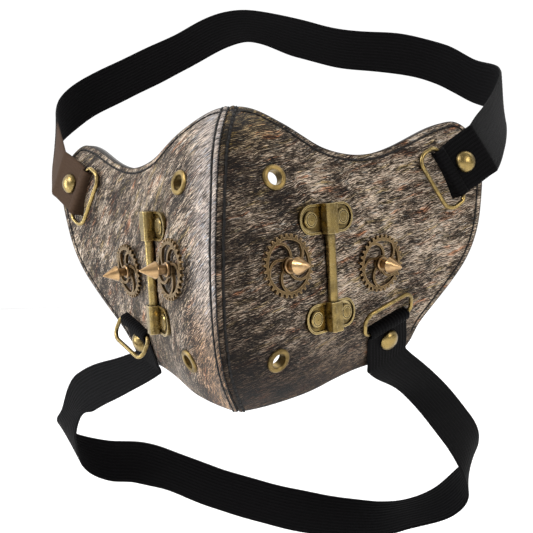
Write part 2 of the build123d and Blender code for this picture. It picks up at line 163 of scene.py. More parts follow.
class Paint:
    # one material being built
    def __init__(self, name):
        self.material = bpy.data.materials.new(name)
        self.material.use_nodes = True
        self.tree = self.material.node_tree
        self.tree.nodes.clear()
        self.shader = self.tree.nodes.new("ShaderNodeBsdfPrincipled")
        output = self.tree.nodes.new("ShaderNodeOutputMaterial")
        self.tree.links.new(self.shader.outputs["BSDF"], output.inputs["Surface"])

    def feed(self, socket, value):
        if isinstance(value, Value):
            self.tree.links.new(value.socket, socket)
        elif value is not None:
            socket.default_value = value

    def node(self, kind, settings=None, out=0, **inputs):
        made = self.tree.nodes.new(kind)
        for key, value in (settings or {}).items():
            setattr(made, key, value)
        for key, value in inputs.items():
            self.feed(made.inputs[key.replace("_", " ")], value)
        return Value(self, made.outputs[out])

    def math(self, operation, *values, clamp=False):
        made = self.tree.nodes.new("ShaderNodeMath")
        made.operation, made.use_clamp = operation, clamp
        for socket, value in zip(made.inputs, values):
            self.feed(socket, value)
        return Value(self, made.outputs[0])

    def clamp(self, value):
        return self.math("ADD", value, 0.0, clamp=True)

    def step(self, value, low, high):
        # 0 below low, 1 above high, smooth between
        made = self.tree.nodes.new("ShaderNodeMapRange")
        made.interpolation_type = "SMOOTHSTEP"
        self.feed(made.inputs["Value"], value)
        self.feed(made.inputs["From Min"], low)
        self.feed(made.inputs["From Max"], high)
        return Value(self, made.outputs["Result"])

    def mix(self, share, first, second, blend="MIX"):
        made = self.tree.nodes.new("ShaderNodeMix")
        made.data_type, made.blend_type = "RGBA", blend
        self.feed(made.inputs["Factor"], share)
        for key, value in (("A", first), ("B", second)):
            socket = [s for s in made.inputs if s.name == key and s.type == "RGBA"][0]
            self.feed(socket, value if isinstance(value, Value) else (*value, 1))
        return Value(self, [s for s in made.outputs if s.type == "RGBA"][0])

    def vector(self, operation, *values):
        made = self.tree.nodes.new("ShaderNodeVectorMath")
        made.operation = operation
        for socket, value in zip(made.inputs, values):
            self.feed(socket, value)
        return Value(self, made.outputs[0])

    def place(self, attribute=None):
        # coordinates in millimetres, of the object or of a stored attribute
        if attribute:
            return self.node("ShaderNodeAttribute", {"attribute_name": attribute}, out="Vector")
        point = self.node("ShaderNodeTexCoord", out="Object")
        return self.vector("MULTIPLY", point, (1 / mm, 1 / mm, 1 / mm))

    def number(self, attribute):
        return self.node("ShaderNodeAttribute", {"attribute_name": attribute}, out="Fac")

    def stretched(self, point, turn, scales):
        return self.node("ShaderNodeMapping", Vector=self.node(
            "ShaderNodeMapping", Vector=point, Rotation=(0, 0, math.radians(turn))), Scale=scales)

    def noise(self, point, scale=1.0, detail=2.0, rough=0.5):
        return self.node("ShaderNodeTexNoise", Vector=point, Scale=scale, Detail=detail,
                         Roughness=rough)

    def sideways(self, point, turn):
        # the point turned in the plane of the leather
        return self.node("ShaderNodeVectorRotate", {"rotation_type": "Z_AXIS"}, Vector=point,
                         Angle=turn)

    def part(self, point, axis):
        return self.node("ShaderNodeSeparateXYZ", out=axis, Vector=point)

    def nearness(self, gap, at, far, near):
        # 0 beyond far from the line at the given gap, 1 within near of it
        return self.step(self.math("ABSOLUTE", gap - at), far, near)

    def bump(self, height, depth, strength=1.0):
        # depth is the height in millimetres of a full step
        return self.node("ShaderNodeBump", out="Normal", Height=height, Distance=depth * mm,
                         Strength=strength)

    def finish(self, color, rough, metal=0.0, normal=None, **fixed):
        self.feed(self.shader.inputs["Base Color"], color)
        self.feed(self.shader.inputs["Roughness"], rough)
        self.feed(self.shader.inputs["Metallic"], metal)
        self.feed(self.shader.inputs["Normal"], normal)
        for key, value in fixed.items():
            self.feed(self.shader.inputs[key.replace("_", " ")], value)
        return self.material


def brassPaint(name, bright, middle, recess, rough):
    # worn metal: painted shade darkens the recesses, bright on edges where it is rubbed
    paint = Paint(name)
    point = paint.place()
    cloud = paint.noise(point, 0.16, 4, 0.6)
    speck = paint.noise(point, 1.1, 3, 0.6)
    fine = paint.noise(point, 6.0, 2, 0.6)
    exposed = paint.node("ShaderNodeAmbientOcclusion", {"samples": 6}, out="AO",
                         Distance=1.8 * mm)
    within = paint.node("ShaderNodeAmbientOcclusion", {"samples": 6, "inside": True}, out="AO",
                        Distance=0.45 * mm)
    rubbed = paint.step(within, 0.86, 0.50)
    tarnish = paint.step(cloud * 0.75 + speck * 0.25, 0.42, 0.60)
    worn = paint.step(cloud * 0.3 + speck * 0.5 + fine * 0.2, 0.48, 0.66)
    color = paint.mix(tarnish, middle, recess)
    color = paint.mix(paint.clamp(worn * 0.35 + rubbed * 0.75), color, bright)
    # painted shade: near black where the AO node finds recesses and the rings round rivets closed
    # in
    color = paint.mix(paint.step(exposed, 0.96, 0.46) * 0.92, color, (0.022, 0.015, 0.008))
    shine = rough + tarnish * 0.20 - worn * 0.06 - rubbed * 0.06 + fine * 0.08
    return paint.finish(color, shine, 1.0, paint.bump(fine * 0.3 + speck * 0.7, 0.02, 0.5))


antiqueBrass = brassPaint("antiqueBrass", (0.86, 0.68, 0.34), (0.285, 0.205, 0.075),
                          (0.12, 0.085, 0.032), 0.20)
gearBrass = brassPaint("gearBrass", (0.52, 0.36, 0.19), (0.17, 0.115, 0.055),
                       (0.06, 0.04, 0.02), 0.34)
spikeBrass = brassPaint("spikeBrass", (0.78, 0.54, 0.32), (0.46, 0.30, 0.15),
                        (0.24, 0.15, 0.07), 0.24)
eyeletBrass = brassPaint("eyeletBrass", (0.52, 0.38, 0.16), (0.20, 0.14, 0.052),
                         (0.09, 0.062, 0.024), 0.34)
screwSteel = brassPaint("screwSteel", (0.62, 0.60, 0.56), (0.42, 0.40, 0.37),
                        (0.20, 0.19, 0.17), 0.35)


def liningPaint():
    paint = Paint("liningCloth")
    point = paint.place()
    warp = paint.node("ShaderNodeTexWave", {"bands_direction": "DIAGONAL"}, out="Fac",
                      Vector=point, Scale=0.55, Distortion=0.6)
    weft = paint.noise(paint.stretched(point, 0, (0.6, 0.6, 5)), 1.0, 2)
    shade = paint.mix(warp * 0.5 + weft * 0.4, (0.018, 0.016, 0.016), (0.055, 0.050, 0.048))
    return paint.finish(shade, 0.9, 0.0, paint.bump(warp + weft, 0.08), Sheen_Weight=0.25)


# printed hair: turn in degrees, stretch along and across the streaks, detail and roughness
streaks = {"stroke": (0, (0.20, 2.3, 1), 3, 0.62), "hair": (4, (0.50, 5.6, 1), 2, 0.7),
           "cross": (0, (0.30, 3.4, 1), 2, 0.65), "lock": (0, (0.06, 0.22, 1), 3, 0.55),
           "hue": (0, (0.05, 0.35, 1), 3, 0.6), "tint": (9, (0.16, 1.1, 1), 2, 0.6)}
hairRamp = ((0.22, (0.012, 0.0080, 0.0055)), (0.45, (0.036, 0.025, 0.017)),
            (0.70, (0.150, 0.112, 0.080)))
# dye colours, with the painted sheen, painted shadow and painted shade colours
dyesAndShading = {"black": (0.0035, 0.0022, 0.0018), "cream": (0.58, 0.48, 0.38),
        "rust": (0.42, 0.19, 0.08), "olive": (0.34, 0.30, 0.10), "blue": (0.26, 0.42, 0.58),
        "peach": (0.72, 0.40, 0.20), "warmSheen": (0.62, 0.46, 0.33),
        "coldSheen": (0.50, 0.60, 0.74), "shadow": (0.42, 0.36, 0.30),
        "chin": (0.15, 0.105, 0.075), "creaseShade": (0.008, 0.006, 0.005)}


def leatherPaint():
    # streaky printed hair: fine strokes over drifting patches of colour, with painted sheen and
    # painted shade over it
    paint = Paint("streakyLeather")
    point = paint.place("print")
    seam = paint.number("seamGap")
    side = paint.number("sideMark")
    edge = paint.number("edgeGap")
    sewn = paint.number("sewn")
    sway = paint.node("ShaderNodeTexNoise", out="Color", Vector=point, Scale=0.07, Detail=2.0)
    bent = paint.vector("ADD", point, paint.vector("MULTIPLY", sway, (4.5, 4.5, 0)))
    laid = paint.sideways(bent, -0.34 - side * 0.36)
    crossed = paint.sideways(bent, 0.02 - side * 0.35)

    def streak(name, along=laid):
        turn, stretch, detail, rough = streaks[name]
        return paint.noise(paint.stretched(along, turn, stretch), 1.0, detail, rough)

    stroke, hair, lock = streak("stroke"), streak("hair"), streak("lock")
    cross = streak("cross", crossed)
    hue, tint = streak("hue"), streak("tint")
    patch = paint.noise(point, 0.045, 3, 0.6)
    light = (stroke - 0.5) * 2.6 + (hair - 0.5) * 2.3 + (cross - 0.5) * 1.7
    # painted light: the wearer's right panel is lighter all over, and the wearer's left panel is
    # lighter away from the seam
    tone = light + (lock - 0.5) * 1.3 + (patch - 0.5) * 1.1 + 0.385 + side * 0.065
    tone = paint.clamp(tone + paint.step(seam, 25, 60) * 0.18 * (1 - side))
    color = paint.node("ShaderNodeValToRGB", out="Color", Fac=tone)
    ramp = color.socket.node.color_ramp.elements
    ramp[0].position, ramp[0].color = 0.0, (*dyesAndShading["black"], 1)
    ramp[1].position, ramp[1].color = 1.0, (*dyesAndShading["cream"], 1)
    for spot, tinted in hairRamp:
        ramp.new(spot).color = (*tinted, 1)
    streaked = paint.step(stroke * 0.6 + hair * 0.4, 0.40, 0.60)
    rust = paint.step(hue, 0.56, 0.68)
    olive = paint.step(1 - hue, 0.55, 0.68)
    blue = paint.step(tint, 0.56, 0.70)
    pink = paint.step(1 - tint, 0.58, 0.72)
    rise = paint.part(point, "Y")
    peach = paint.step(-1 * rise, 5, 40) * paint.step(30 - seam, 0, 18) * side
    gold = paint.step(rise, 38, 58) * paint.step(34 - seam, 0, 22) * (1 - side)
    color = paint.mix(rust * 0.80, color, dyesAndShading["rust"], "OVERLAY")
    color = paint.mix(paint.clamp(olive * 0.70 + gold * 0.6), color, dyesAndShading["olive"], "OVERLAY")
    color = paint.mix(blue * 0.85, color, dyesAndShading["blue"], "SOFT_LIGHT")
    blush = paint.clamp(pink * 0.40 + peach * 0.95 * streaked)
    color = paint.mix(blush, color, dyesAndShading["peach"], "SOFT_LIGHT")
    # painted sheen on one side of the seam, painted shadow on the other, painted shade darkening
    # the chin
    sheen = paint.step(20 - seam, 0, 15) * paint.step(side, 0.4, 0.6)
    high = paint.step(rise, -34, -8)
    paintedSheenTint = paint.mix(high * (0.35 + 0.65 * blue), dyesAndShading["warmSheen"], dyesAndShading["coldSheen"])
    color = paint.mix(sheen * streaked * (0.36 + 0.26 * high), color, paintedSheenTint)
    # painted shadow beside the seam on the wearer's left panel
    dark = paint.step(26 - seam, 0, 22) * paint.step(1 - side, 0.4, 0.6)
    color = paint.mix(dark * 0.45, color, dyesAndShading["shadow"], "MULTIPLY")
    # painted shade: darker towards the chin, the lower part facing down from the lights, strongest
    # on the wearer's left panel
    chin = paint.step(-1 * rise, 8, 50)
    color = paint.mix(chin * (0.97 - side * 0.62), color, dyesAndShading["chin"], "MULTIPLY")
    # painted shade in the creases along the stitch rows, the seam and the cut edge
    creaseShadeMask = paint.nearness(seam, sewing["seamRow"], 1.25, 0.45)
    creaseShadeMask = creaseShadeMask + paint.nearness(edge, sewing["edgeRow"], 0.85, 0.25) * sewn
    creaseShadeMask = creaseShadeMask + paint.step(seam, 0.55, 0.10) + paint.step(edge, 0.7, 0.2)
    color = paint.mix(paint.clamp(creaseShadeMask) * 0.85, color, dyesAndShading["creaseShade"])
    grain = paint.noise(point, 2.4, 3, 0.6)
    rough = 0.40 + hair * 0.10 + grain * 0.10
    relief = stroke * 0.45 + hair * 0.35 + grain * 0.35 + lock * 0.3
    return paint.finish(color, rough, 0.0, paint.bump(relief, 0.20, 0.8),
                        Specular_IOR_Level=0.11)


# pitches in millimetres: ribs across the strap, stitches along it
knitting = {"rib": 1.9, "stitch": 0.9}


def elasticPaint():
    paint = Paint("ribbedElastic")
    point = paint.place("weave")
    brown = paint.number("brownEnd")
    wale = paint.math("SINE", paint.part(point, "Y") * (2 * math.pi / knitting["rib"]))
    along = paint.part(point, "X") * (2 * math.pi / knitting["stitch"])
    knit = paint.math("SINE", along + wale * 1.2)
    fuzz = paint.noise(paint.stretched(point, 0, (0.5, 3.0, 1)), 1.0, 3, 0.6)
    shade = paint.mix(paint.clamp(wale * 0.25 + fuzz * 0.8), (0.0006, 0.0005, 0.0007),
                      (0.0042, 0.0040, 0.0046))
    dyed = paint.mix(fuzz, (0.022, 0.012, 0.008), (0.066, 0.041, 0.026))
    shade = paint.mix(brown, shade, dyed)
    height = (wale * 0.5 + knit * 0.22) * (1 - brown * 0.8) + fuzz * 0.3
    return paint.finish(shade, 0.62 + fuzz * 0.2, 0.0, paint.bump(height, 0.16),
                        Specular_IOR_Level=0.05)


def threadPaint():
    paint = Paint("blackThread")
    point = paint.place()
    ply = paint.noise(point, 2.5, 2, 0.6)
    shade = paint.mix(ply, (0.0015, 0.0015, 0.0015), (0.010, 0.009, 0.009))
    return paint.finish(shade, 0.7, 0.0, paint.bump(ply, 0.06), Specular_IOR_Level=0.25)


liningCloth = liningPaint()
streakyLeather = leatherPaint()
ribbedElastic = elasticPaint()
blackThread = threadPaint()
print("materials made")


# Leather panels
def meshObject(name, points, faces, material):
    mesh = bpy.data.meshes.new(name)
    mesh.from_pydata([tuple(p) for p in points], [], [tuple(f) for f in faces])
    mesh.materials.append(material)
    for polygon in mesh.polygons:
        polygon.use_smooth = True
    made = bpy.data.objects.new(name, mesh)
    bpy.context.scene.collection.objects.link(made)
    return made


def baked(made):
    # swaps in the object's mesh with its modifiers applied
    graph = bpy.context.evaluated_depsgraph_get()
    mesh = bpy.data.meshes.new_from_object(made.evaluated_get(graph), depsgraph=graph,
                                           preserve_all_data_layers=True)
    made.modifiers.clear()
    made.data = mesh


def store(made, name, values, kind="FLOAT", key="value"):
    # a number or vector kept at each vertex, for the materials
    attribute = made.data.attributes.new(name, kind, "POINT")
    attribute.data.foreach_set(key, np.ravel(values))


def smoothLoop(points, gap):
    # even points along a smooth open line through the given ones
    points = np.array(points, float)
    padded = np.vstack((2 * points[0] - points[1], points, 2 * points[-1] - points[-2]))
    line = []
    for i in range(1, len(padded) - 2):
        a, b, c, d = padded[i - 1:i + 3]
        for t in np.linspace(0, 1, 24, endpoint=False):
            line.append(0.5 * (2 * b + (c - a) * t + (2 * a - 5 * b + 4 * c - d) * t * t
                               + (3 * b - a - 3 * c + d) * t ** 3))
    line = np.array([*line, points[-1]])
    reach = lengths(line)
    marks = np.linspace(0, reach[-1], max(2, int(reach[-1] / gap)))
    return np.stack([np.interp(marks, reach, line[:, k]) for k in range(line.shape[1])], -1)


def seamAlong(up):
    return lineAt(noseLine, up) * math.sin(shell["yaw"])


seamHeights = np.linspace(sewing["bottom"], sewing["top"], 150)
seamFlat = np.stack((seamAlong(seamHeights), seamHeights), -1)
edgeFlat = smoothLoop((seamFlat[-1], *panelEdge, seamFlat[0]), 0.8)
outlineFlat = np.vstack((seamFlat[:-1], edgeFlat[:-1]))


def insideLoop(points, loop):
    x, y = points[:, 0:1], points[:, 1:2]
    ax, ay = loop[:, 0], loop[:, 1]
    bx, by = np.roll(ax, -1), np.roll(ay, -1)
    nearlyZero = 1e-12
    meets = (bx - ax) * (y - ay) / (by - ay + nearlyZero) + ax
    crosses = ((ay > y) != (by > y)) & (x < meets)
    return crosses.sum(1) % 2 == 1


def gapTo(points, line):
    # distance from each point to the nearest point of a line, in batches
    batch = 50
    best = np.full(len(points), np.inf)
    for start in range(0, len(line), batch):
        part = line[start:start + batch]
        gaps = np.linalg.norm(points[:, None, :] - part[None], axis=2).min(1)
        best = np.minimum(best, gaps)
    return best


# holes in the leather; the slot is given from the strap rivet, inboard
holes = {"eyeletRadius": 3.6, "slotNear": 10.2, "slotFar": 12.3, "slotHalf": 12.1}


def holeLoops():
    radius = holes["eyeletRadius"]
    near, far, half = holes["slotNear"], holes["slotFar"], holes["slotHalf"]
    turns = np.linspace(0, 2 * math.pi, 40, endpoint=False)
    ring = np.stack((np.cos(turns), np.sin(turns)), -1) * radius
    slot = smoothLoop(((near, -half), (near, half), (far, half), (far, -half), (near, -half)),
                      1.0)[:-1]
    slot = np.clip(slot, (near, -half), (far, half))
    loops = []
    for (origin, axes), loop in ((seatFrame(places["noseEyelet"]), ring),
                                 (seatFrame(places["chinEyelet"]), ring),
                                 (corners["upper"], slot), (corners["lower"], slot)):
        points = origin + loop @ axes[:2]
        loops.append(np.stack((alongOf(points), points[:, 2]), -1))
    return loops


# how deep and how wide the leather is pressed or raised, in millimetres
press = {"seam": (1.0, 0.85), "roll": (0.22, 0.9), "rollAt": 1.9, "row": 0.20, "pucker": 0.08,
         "puckerPitch": 3.1, "rowWidth": 0.75, "edgeRow": (0.22, 0.8), "lip": (0.10, 0.6),
         "lipAt": 1.1, "wave": 0.10, "eyelet": (0.28, 0.5), "saddle": (0.35, 0.6)}
# radius kept free of waves around each fitting
calmRadius = {"noseEyelet": 5.4, "chinEyelet": 5.4, "frontGear": 2.3, "rearGear": 2.3,
              "upperSaddle": 15, "lowerSaddle": 15, "upperStrap": 14, "lowerStrap": 14}
saddle = {"halfSpan": 8.9, "radius": 6.2}


def ridge(gap, width):
    return np.exp(-(gap / width) ** 2)


def rim(gap, size):
    # pressed most at a fitting's outline, easing off away from it
    depth, width = size
    return depth * np.exp(-np.clip(gap, 0, None) / width) * (gap < 4)


def panelDip(flat, across):
    # millimetres the leather stands out or dips: seam roll, stitch rows, fittings, soft waves
    along, up = flat.T
    gap = along - seamAlong(up)
    edge = gapTo(flat, edgeFlat)
    pucker = 0.5 + 0.5 * np.cos(2 * math.pi * up / press["puckerPitch"])
    dip = press["roll"][0] * ridge(gap - press["rollAt"], press["roll"][1])
    dip -= press["seam"][0] * ridge(gap, press["seam"][1])
    dip -= (press["row"] + press["pucker"] * pucker) * ridge(gap - sewing["seamRow"],
                                                             press["rowWidth"])
    above = np.clip((up - sewing["dentAbove"]) / sewing["fade"], 0, 1)
    beyond = np.clip((along - sewing["dentBeyond"]) / sewing["fade"], 0, 1)
    sewn = np.clip(above + beyond, 0, 1)
    dip -= press["edgeRow"][0] * sewn * ridge(edge - sewing["edgeRow"], press["edgeRow"][1])
    dip += press["lip"][0] * ridge(edge - press["lipAt"], press["lip"][1])
    wave = np.sin(along / 7.1 + 1.1) * np.sin(up / 8.3 + 0.4) + 0.6 * np.sin(along / 3.9 + up / 5.2)
    calm = np.clip((edge - 4) / 10, 0, 1) * np.clip((gap - 5) / 10, 0, 1)
    point = leatherAt(across, up)
    for name, radius in calmRadius.items():
        far = np.linalg.norm(point - leatherAt(*places[name]), axis=1) - radius
        calm = calm * np.clip(far / 8, 0, 1)
        if "Eyelet" in name or "Gear" in name:
            dip -= rim(far, press["eyelet"])
    for name in ("upperSaddle", "lowerSaddle"):
        origin, axes = seatFrame(places[name])
        local = (point - origin) @ axes.T
        core = np.maximum(np.abs(local[:, 0]) - saddle["halfSpan"], 0)
        dip -= rim(np.hypot(core, local[:, 1]) - saddle["radius"], press["saddle"])
    return np.minimum(dip + press["wave"] * wave * calm, rodBed(point))


def rodBed(point):
    # how high the leather may stand beside the rod that presses into it
    top, topAxes = seatFrame(places["upperSaddle"])
    foot, footAxes = seatFrame(places["lowerSaddle"])
    span = np.linalg.norm(top - foot)
    run = (top - foot) / span
    out = topAxes[2] + footAxes[2]
    out = unit(out - run * (out @ run))
    local = point - foot - out * (rod["lift"] - rod["seat"])
    aside = local @ np.cross(run, out)
    reach = local @ run
    room = np.sqrt(np.maximum((rod["across"] / 2 + rod["gap"]) ** 2 - aside ** 2, 0))
    held = (reach > -rod["past"]) & (reach < span + rod["past"]) & (room > 0)
    return np.where(held, -room - local @ out, np.inf)


# mesh of a panel: a grid, finer rows beside the seam, and room left around outlines
weaving = {"grid": 1.1, "rows": (0.35, 0.75, 1.2, 1.7, 2.3, 2.8, 3.3, 3.8, 4.4), "rowStep": 0.8,
           "gridFrom": 4.8, "gridRoom": 0.7, "rowRoom": 0.5, "holeRoom": 0.6,
           "onSeam": 0.02, "bevel": 0.45}


def gridOf(columns, rows):
    return np.stack(np.meshgrid(columns, rows), -1).reshape(-1, 2)


def panelMesh():
    # flat points and triangles inside the outline and outside the holes
    step = weaving["grid"]
    grid = gridOf(np.arange(-1, 141, step), np.arange(-60, 68, step))
    near = gridOf(weaving["rows"],
                  np.arange(sewing["bottom"] + 0.6, sewing["top"] - 0.4, weaving["rowStep"]))
    near[:, 0] += seamAlong(near[:, 1])
    keep = insideLoop(grid, outlineFlat) & (gapTo(grid, edgeFlat) > weaving["gridRoom"])
    keep &= grid[:, 0] - seamAlong(grid[:, 1]) > weaving["gridFrom"]
    nearKeep = insideLoop(near, outlineFlat) & (gapTo(near, edgeFlat) > weaving["rowRoom"])
    inner = np.vstack((grid[keep], near[nearKeep]))
    cuts = holeLoops()
    for loop in cuts:
        inner = inner[~insideLoop(inner, loop) & (gapTo(inner, loop) > weaving["holeRoom"])]
    points, edges = [], []
    for loop in (outlineFlat, *cuts):
        start, count = len(points), len(loop)
        points += [Vector(p) for p in loop]
        edges += [(start + k, start + (k + 1) % count) for k in range(count)]
    points += [Vector(p) for p in inner]
    flat, _, faces, *_ = delaunay_2d_cdt(points, edges, [], 0, 1e-5)
    flat, faces = np.array([tuple(p) for p in flat]), np.array(faces)
    middles = flat[faces].mean(1)
    good = insideLoop(middles, outlineFlat)
    for loop in cuts:
        good &= ~insideLoop(middles, loop)
    faces = faces[good]
    used = np.unique(faces)
    return flat[used], np.searchsorted(used, faces)


def leatherPanel(side):
    flip = sides[side]
    flat, faces = panelMesh()
    along, up = flat.T
    gap = along - seamAlong(up)
    onSeam = gap < weaving["onSeam"]
    across = np.where(onSeam, 0, np.maximum(acrossAt(along, up), 0))
    out = outwardAt(across, up)
    shift = out * panelDip(flat, across)[:, None]
    shift[onSeam, 0] = 0
    points = (leatherAt(across, up) + shift) * (flip, 1, 1)
    corner = points[faces]
    facing = np.cross(corner[:, 1] - corner[:, 0], corner[:, 2] - corner[:, 0])
    inward = (facing * out[faces[:, 0]] * (flip, 1, 1)).sum(1) < 0
    faces[inward] = faces[inward][:, ::-1]
    made = meshObject(f"leatherPanel_{side}", points * mm, faces.tolist(), streakyLeather)
    store(made, "print", np.stack((along * flip, up, along * 0), -1), "FLOAT_VECTOR", "vector")
    store(made, "seamGap", gap)
    store(made, "edgeGap", gapTo(flat, edgeFlat))
    store(made, "sewn", np.clip((up - sewing["creaseAbove"]) / sewing["fade"], 0, 1))
    store(made, "sideMark", np.full(len(flat), 0.0 if flip > 0 else 1.0))
    thick = made.modifiers.new("thick", "SOLIDIFY")
    thick.thickness, thick.offset = shell["leather"] * mm, -1
    rounded = made.modifiers.new("roundedEdge", "BEVEL")
    rounded.width, rounded.segments = weaving["bevel"] * mm, 3
    rounded.limit_method, rounded.angle_limit = "ANGLE", math.radians(50)
    baked(made)
    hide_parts(f"outer_panel_{side}")
    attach(made, "mask")


for side in sides:
    leatherPanel(side)
print("panels made")


# Elastic straps
strap = {"width": 25.0, "thick": 1.3, "foldWidth": 23.4, "barAt": 9.5, "barLift": 1.5,
         "lap": 0.3, "tailEnd": -7.5, "bend": 1.75, "foldEnd": 30, "foldFade": 10,
         "easeFrom": 8.3, "easeSpan": 2.5, "lapFrom": 4.6, "lapTo": -4.1, "lapStep": -1.4,
         "leaving": (-4.0, -8.0, -13.0), "brownLength": 92, "brownFade": 8}
# surface of the elastic, in millimetres
ribbing = {"columns": 53, "ribs": 6.5, "ribHeight": 0.11, "skin": 0.12, "trim": 0.1,
           "ripple": 0.10, "waves": ((9.0, 0.3), (5.3, 1.9), (14.0, 4.0)), "sag": 0.25}
# stations along each strap: a point, and the direction of its edge
upperRun = (((120, 47, 82), (-0.25, -0.35, 0.90)), ((123, 76, 100), (0.0, -0.25, 0.97)),
            ((111, 98, 112), (0.15, -0.1, 0.98)), ((93, 107, 126), (0.25, 0.0, 0.97)),
            ((69, 109, 135), (0.18, 0.0, 0.98)), ((32, 107, 141), (0.15, 0.0, 0.99)),
            ((6, 108, 150), (0.2, 0.1, 0.97)), ((-27, 110, 162), (-0.1, 0.3, 0.95)),
            ((-47, 109, 160), (-0.3, 0.1, 0.95)), ((-73, 102, 146), (-0.3, 0.0, 0.95)),
            ((-104, 84, 126), (-0.25, -0.05, 0.97)), ((-123, 64, 109), (-0.1, -0.15, 0.98)),
            ((-129, 42, 90), (0.1, -0.3, 0.94)))
lowerRun = (((74, 24, -60), (0.88, 0.45, 0.15)), ((87, 43, -78), (0.80, 0.55, 0.20)),
            ((97, 61, -96), (0.66, 0.68, 0.30)), ((100, 75, -112), (0.30, 0.88, 0.38)),
            ((96, 87, -127), (-0.20, 0.85, 0.50)), ((84, 95, -140), (-0.30, 0.85, 0.45)),
            ((63, 101, -149), (-0.15, 0.90, 0.40)), ((42, 105, -154), (0.05, 0.70, 0.70)),
            ((-2, 104, -150), (0.25, 0.35, 0.90)), ((-52, 100, -137), (0.35, 0.20, 0.92)),
            ((-83, 93, -124), (0.35, 0.10, 0.93)), ((-101, 85, -117), (0.05, 0.35, 0.93)),
            ((-118, 76, -114), (-0.15, 0.20, 0.96)), ((-130, 62, -105), (-0.45, 0.30, 0.84)),
            ((-131, 48, -90), (-0.75, 0.55, 0.35)), ((-122, 37, -77), (-0.80, 0.60, 0.05)),
            ((-106, 24, -63), (-0.62, 0.30, 0.72)))


def tailHeight(corner):
    # the hidden tail lies clear of the curved lining over its whole width
    origin, axes = corners[corner]
    heights = []
    for inboard in (strap["tailEnd"], strap["tailEnd"] / 2, 0, strap["barAt"],
                    strap["barAt"] + 2 * strap["bend"]):
        for share in (-0.55, -0.25, 0, 0.25, 0.55):
            spot = origin + axes[0] * inboard + axes[1] * share * strap["foldWidth"]
            inner = leatherAt(spot[0], spot[2]) - outwardAt(spot[0], spot[2]) * shell["thick"]
            heights.append((inner - origin) @ axes[2])
    return min(heights) - strap["lap"] - strap["thick"] / 2


def foldPath(corner):
    # (inboard, height) from the strap's hidden tail, up through the slot, over the bar to the lap
    bend, barAt, barLift, tailEnd = (strap[k] for k in ("bend", "barAt", "barLift", "tailEnd"))
    wall = barAt + bend
    top = barLift + bend
    tail = tailHeight(corner)
    quarter = np.linspace(0, math.pi / 2, 8)
    path = [(tailEnd + k, tail) for k in np.arange(0, barAt - tailEnd, 1.5)]
    path += [(barAt + bend * math.sin(t), tail + bend - bend * math.cos(t)) for t in quarter]
    path += [(wall, h) for h in np.linspace(tail + bend, barLift, 5)[1:-1]]
    path += [(barAt + bend * math.cos(t), barLift + bend * math.sin(t)) for t in quarter]
    low = strap["lap"] + strap["thick"] / 2
    path += [(strap["easeFrom"] - strap["easeSpan"] * t, top + (low - top) * t * t * (3 - 2 * t))
             for t in np.linspace(0.08, 1, 8)]
    lap = np.arange(strap["lapFrom"], strap["lapTo"], strap["lapStep"])
    return path + [(inboard, low) for inboard in lap]


def hermite(points, marks, steps):
    # smooth line through points, each reached at its mark
    last = len(points) - 1
    pulls = []
    for i in range(last + 1):
        low, high = max(i - 1, 0), min(i + 1, last)
        pulls.append((points[high] - points[low]) / (marks[high] - marks[low]))
    eased = []
    for i in range(last):
        span = marks[i + 1] - marks[i]
        for t in np.arange(steps) / steps:
            blend = t * t * (3 - 2 * t)
            pull = pulls[i] * (t * (1 - t) ** 2) - pulls[i + 1] * (t * t * (1 - t))
            eased.append(points[i] * (1 - blend) + points[i + 1] * blend + pull * span)
    return np.array([*eased, points[-1]])


def strapCentre(corner, run):
    # centre points and edge directions from the left tail to the right one
    origin, axes = corners[corner]
    mirror = np.array((-1, 1, 1))
    low = strap["lap"] + strap["thick"] / 2
    edge = axes[1]
    fold = [origin + axes[0] * a + axes[2] * n for a, n in foldPath(corner)[:-1]]
    leaving = [origin + axes[0] * a + axes[2] * low for a in strap["leaving"]]
    run = [(np.array(at, float), unit(np.array(edge, float))) for at, edge in run]
    # the edge may point either way, so it is turned to agree with the run
    sign = 1 if edge[[0, 2]] @ run[0][1][[0, 2]] > 0 else -1
    farEdge = edge * mirror * sign
    farEdge = farEdge if farEdge @ run[-1][1] > 0 else -farEdge
    stations = [(at, edge * sign) for at in leaving] + run
    stations += [(at * mirror, farEdge) for at in leaving[::-1]]
    marks = lengths(np.array([at for at, _ in stations]))
    centres = np.vstack((fold, hermite([at for at, _ in stations], marks, 10),
                         [at * mirror for at in fold[::-1]]))
    edges = np.vstack(([edge * sign] * len(fold), hermite([to for _, to in stations], marks, 10),
                       [farEdge] * len(fold)))
    return centres, unit(edges)


